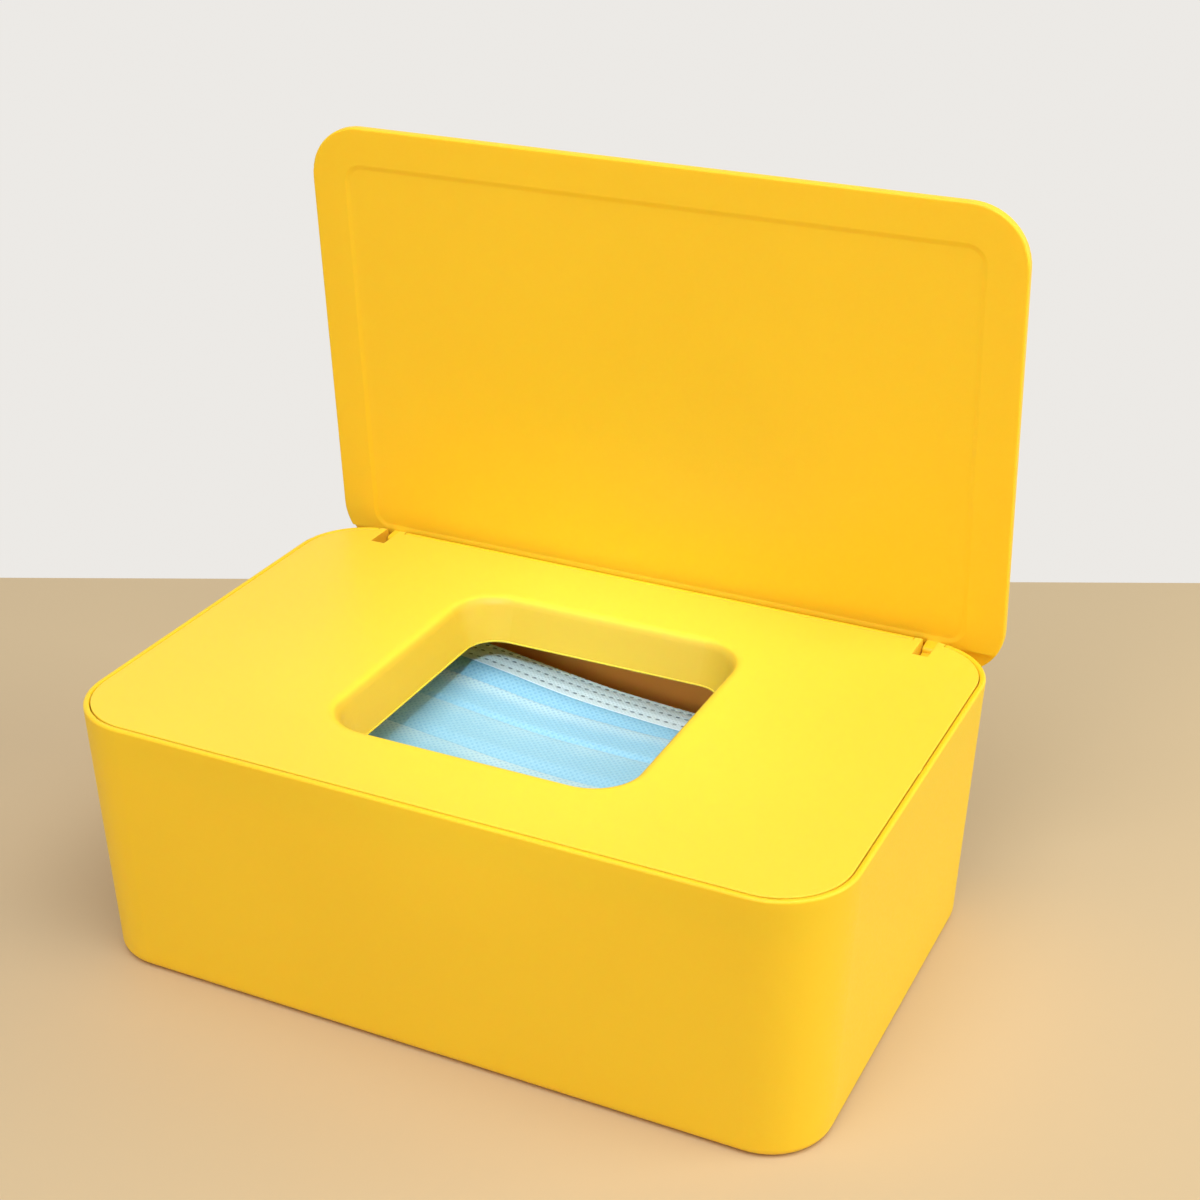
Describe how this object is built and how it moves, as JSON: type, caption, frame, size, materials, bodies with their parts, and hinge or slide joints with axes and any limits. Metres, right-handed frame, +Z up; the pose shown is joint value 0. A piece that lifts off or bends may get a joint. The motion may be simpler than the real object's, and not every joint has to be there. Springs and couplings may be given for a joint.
{
  "type": "countertop wipes dispenser",
  "caption": "Low rectangular tub with rounded corners, a drop-in cover with a square funnel window and a flip lid, holding folded face masks.",
  "frame": {"origin": "centre of the flat underside that the tub stands on, midway along its length and width", "axes": "+X along the length, to the right seen from the front; +Y from the front to the hinge side; +Z up"},
  "size_m": [0.19, 0.1293, 0.1791],
  "materials": {
    "shell_plastic": "satin moulded polypropylene, bright yellow",
    "pin_steel": "plain drawn wire",
    "blue_nonwoven": "spunbond nonwoven, light blue",
    "white_nonwoven": "spunbond nonwoven, white, with welded dashes",
    "nose_wire_metal": "plain strip"
  },
  "bodies": {
    "tub": {"box_tub": "shell_plastic", "mask_inner_ply": "white_nonwoven", "mask_filter_ply": "white_nonwoven", "mask_outer_ply": "blue_nonwoven", "mask_nose_wire": "nose_wire_metal", "mask_binding_left": "white_nonwoven", "mask_binding_right": "white_nonwoven", "lower_mask_01": "blue_nonwoven", "lower_mask_02": "blue_nonwoven", "lower_mask_03": "blue_nonwoven", "lower_mask_04": "blue_nonwoven", "lower_mask_05": "blue_nonwoven", "lower_mask_06": "blue_nonwoven", "lower_mask_07": "blue_nonwoven", "lower_mask_08": "blue_nonwoven", "lower_mask_09": "blue_nonwoven", "lower_mask_10": "blue_nonwoven", "lower_mask_11": "blue_nonwoven"},
    "cover": {"top_cover": "shell_plastic", "hinge_pin_left": "pin_steel", "hinge_pin_right": "pin_steel"},
    "lid": {"lid": "shell_plastic"}
  },
  "joints": [
    {"name": "cover_lift", "type": "slide", "parent": "tub", "child": "cover", "axis": [0, 0, 1], "range_m": [0, 0.08]},
    {"name": "lid_hinge", "type": "hinge", "parent": "cover", "child": "lid", "pos_m": [0, 0.0575, 0.06015], "axis": [-1, 0, 0], "range_deg": [-86, 24]}
  ]
}
